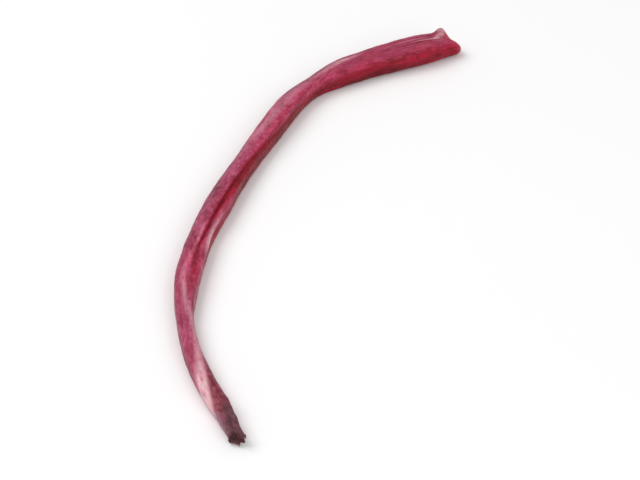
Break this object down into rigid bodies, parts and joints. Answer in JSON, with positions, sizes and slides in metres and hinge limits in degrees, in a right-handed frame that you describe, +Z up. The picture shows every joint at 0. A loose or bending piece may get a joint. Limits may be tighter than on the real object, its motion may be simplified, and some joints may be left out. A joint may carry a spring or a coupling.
{
  "type": "black salsify root stick",
  "caption": "Long slender curved stick cut from a root vegetable: thin torn tail, notched inner side, broad rounded head, flat cut underside to lie on.",
  "frame": {"origin": "centre of the bounding box, on the surface that the flat cut underside rests on", "axes": "+X along the bow's chord from the thin torn tail to the broad head, +Y towards the outer side of the bow, +Z up from the underside"},
  "size_m": [0.1962, 0.0471, 0.008],
  "materials": {
    "root_flesh": "peeled and cut moist root flesh, magenta to crimson, soft sheen, dark fibrous torn tail"
  },
  "bodies": {
    "root": {"root_stick": "root_flesh"}
  },
  "joints": []
}
